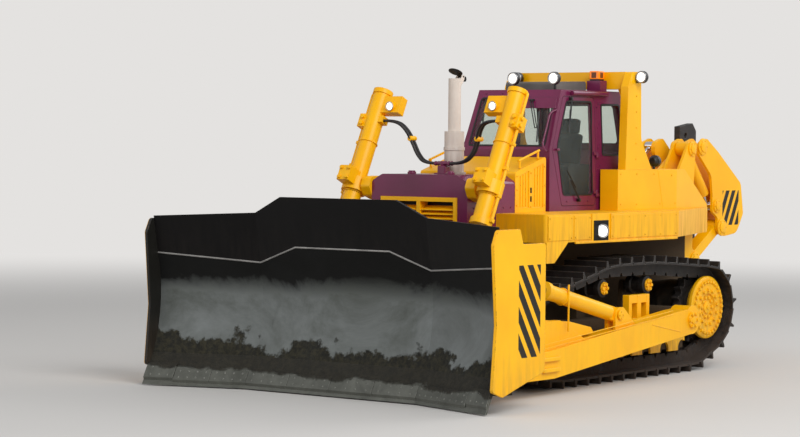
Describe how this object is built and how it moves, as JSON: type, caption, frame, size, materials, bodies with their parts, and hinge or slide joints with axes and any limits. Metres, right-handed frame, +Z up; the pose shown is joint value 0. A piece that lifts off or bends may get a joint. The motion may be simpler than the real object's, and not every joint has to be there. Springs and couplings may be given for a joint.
{
  "type": "bulldozer",
  "caption": "Crawler bulldozer with a wide semi-U blade on push arms and lift cylinders, enclosed cab, rollover arch and a rear ripper.",
  "frame": {"origin": "on the ground, in the middle of the machine's length and width", "axes": "+X forwards towards the blade, +Y to the machine's left, +Z up"},
  "size_m": [9.3548, 5.2806, 4.012],
  "materials": {
    "yellow_paint": "satin paint",
    "purple_paint": "gloss paint",
    "engine_paint": "matt paint",
    "exhaust_paint": "heat-stained paint",
    "flap_steel": "matt paint",
    "glass": "clear",
    "seat_frame": "matt paint",
    "seat_fabric": "woven",
    "control_plastic": "matt",
    "roof_grey": "matt paint",
    "lamp_housing": "matt",
    "track_steel": "worn",
    "hose_rubber": "matt",
    "blade_steel": "scoured bare steel",
    "spill_black": "matt paint",
    "edge_steel": "worn",
    "chrome": "polished"
  },
  "bodies": {
    "tractor": {"main_frame": "yellow_paint", "engine_block": "engine_paint", "hood": "purple_paint", "grille": "yellow_paint", "exhaust_stack": "exhaust_paint", "cab_shell": "purple_paint", "cab_glass": "glass", "seat_base": "seat_frame", "seat_cushions": "seat_fabric", "controls": "control_plastic", "roof_unit": "roof_grey", "rops_arch": "yellow_paint", "work_lamps": "lamp_housing", "fuel_tank": "yellow_paint", "fenders": "yellow_paint", "cowl": "yellow_paint", "handrails": "yellow_paint", "track_left": "track_steel", "track_right": "track_steel", "sprockets": "track_steel", "final_drives": "yellow_paint", "idlers": "yellow_paint", "track_rollers": "yellow_paint", "carrier_rollers": "yellow_paint", "roller_frames": "yellow_paint", "roller_guards": "yellow_paint", "cylinder_brackets": "yellow_paint", "hose_fittings": "track_steel", "hoses_left": "hose_rubber", "hoses_right": "hose_rubber", "ripper_mount": "yellow_paint"},
    "blade": {"moldboard": "blade_steel", "spill_plate": "spill_black", "cutting_edge": "edge_steel", "blade_sides": "yellow_paint", "push_arm_left": "yellow_paint", "push_arm_right": "yellow_paint", "brace_barrels": "yellow_paint", "brace_rods": "chrome"},
    "lift_barrel_left": {"lift_barrel_left": "yellow_paint"},
    "lift_barrel_right": {"lift_barrel_right": "yellow_paint"},
    "lift_rod_left": {"lift_rod_left": "chrome"},
    "lift_rod_right": {"lift_rod_right": "chrome"},
    "exhaust_flap": {"exhaust_flap": "flap_steel"},
    "door_left": {"door_left": "purple_paint", "door_glass_left": "glass"},
    "door_right": {"door_right": "purple_paint", "door_glass_right": "glass"},
    "ripper_arm": {"ripper_arm": "yellow_paint"},
    "ripper_pins": {"ripper_pins": "track_steel"},
    "ripper_beam": {"ripper_beam": "yellow_paint", "ripper_shank": "track_steel"},
    "ripper_lift_barrels": {"ripper_lift_barrels": "yellow_paint"},
    "ripper_lift_rods": {"ripper_lift_rods": "chrome"},
    "ripper_tilt_barrels": {"ripper_tilt_barrels": "yellow_paint"},
    "ripper_tilt_rods": {"ripper_tilt_rods": "chrome"}
  },
  "joints": [
    {"name": "blade_lift", "type": "hinge", "parent": "tractor", "child": "blade", "pos_m": [-0.85, 0, 0.75], "axis": [0, -1, 0], "range_deg": [-6, 14], "deforming": ["hoses_left", "hoses_right"]},
    {"name": "lift_swing_left", "type": "hinge", "parent": "tractor", "child": "lift_barrel_left", "pos_m": [2.45, 1.05, 2.48], "axis": [0, -1, 0], "range_deg": [-7, 16]},
    {"name": "lift_stroke_left", "type": "slide", "parent": "lift_barrel_left", "child": "lift_rod_left", "axis": [0.4317, 0, -0.902], "range_m": [-0.91, 0.39]},
    {"name": "lift_swing_right", "type": "hinge", "parent": "tractor", "child": "lift_barrel_right", "pos_m": [2.45, -1.05, 2.48], "axis": [0, -1, 0], "range_deg": [-7, 16]},
    {"name": "lift_stroke_right", "type": "slide", "parent": "lift_barrel_right", "child": "lift_rod_right", "axis": [0.4317, 0, -0.902], "range_m": [-0.91, 0.39]},
    {"name": "exhaust_flap", "type": "hinge", "parent": "tractor", "child": "exhaust_flap", "pos_m": [1.635, 0, 3.875], "axis": [0, -1, 0], "range_deg": [-20, 50]},
    {"name": "door_left", "type": "hinge", "parent": "tractor", "child": "door_left", "pos_m": [-0.483, 0.707, 2.9], "axis": [0, 0, 1], "range_deg": [0, 100]},
    {"name": "door_right", "type": "hinge", "parent": "tractor", "child": "door_right", "pos_m": [-0.483, -0.707, 2.9], "axis": [0, 0, -1], "range_deg": [0, 100]},
    {"name": "ripper_lift", "type": "hinge", "parent": "tractor", "child": "ripper_arm", "pos_m": [-3.25, 0, 1.4], "axis": [0, -1, 0], "range_deg": [0, 50]},
    {"name": "ripper_level", "type": "hinge", "parent": "ripper_arm", "child": "ripper_pins", "pos_m": [-4, 0, 1.85], "axis": [0, -1, 0], "range_deg": [-50, 0]},
    {"name": "ripper_pitch", "type": "hinge", "parent": "ripper_pins", "child": "ripper_beam", "pos_m": [-4, 0, 1.85], "axis": [0, -1, 0], "range_deg": [0, 12]},
    {"name": "ripper_lift_swing", "type": "hinge", "parent": "tractor", "child": "ripper_lift_barrels", "pos_m": [-3.15, 0, 2.98], "axis": [0, -1, 0], "range_deg": [0, 15]},
    {"name": "ripper_lift_stroke", "type": "slide", "parent": "ripper_lift_barrels", "child": "ripper_lift_rods", "axis": [-0.6546, 0, -0.756], "range_m": [0, 0.665]},
    {"name": "ripper_tilt_swing", "type": "hinge", "parent": "tractor", "child": "ripper_tilt_barrels", "pos_m": [-2.68, 0, 2.56], "axis": [0, -1, 0], "range_deg": [0, 50]},
    {"name": "ripper_tilt_stroke", "type": "slide", "parent": "ripper_tilt_barrels", "child": "ripper_tilt_rods", "axis": [-0.8575, 0, 0.5145], "range_m": [0, 0.22]}
  ],
  "couplings": [
    {"joint": "lift_swing_left", "follows": "blade_lift", "ratio": 1.12},
    {"joint": "lift_stroke_left", "follows": "blade_lift", "m_per_rad": -3.7},
    {"joint": "lift_swing_right", "follows": "blade_lift", "ratio": 1.12},
    {"joint": "lift_stroke_right", "follows": "blade_lift", "m_per_rad": -3.7},
    {"joint": "ripper_level", "follows": "ripper_lift", "ratio": -1},
    {"joint": "ripper_lift_swing", "follows": "ripper_lift", "ratio": 0.282},
    {"joint": "ripper_lift_stroke", "follows": "ripper_lift", "m_per_rad": 0.754},
    {"joint": "ripper_tilt_swing", "follows": "ripper_lift", "ratio": 1},
    {"joint": "ripper_tilt_stroke", "follows": "ripper_pitch", "m_per_rad": 1}
  ]
}
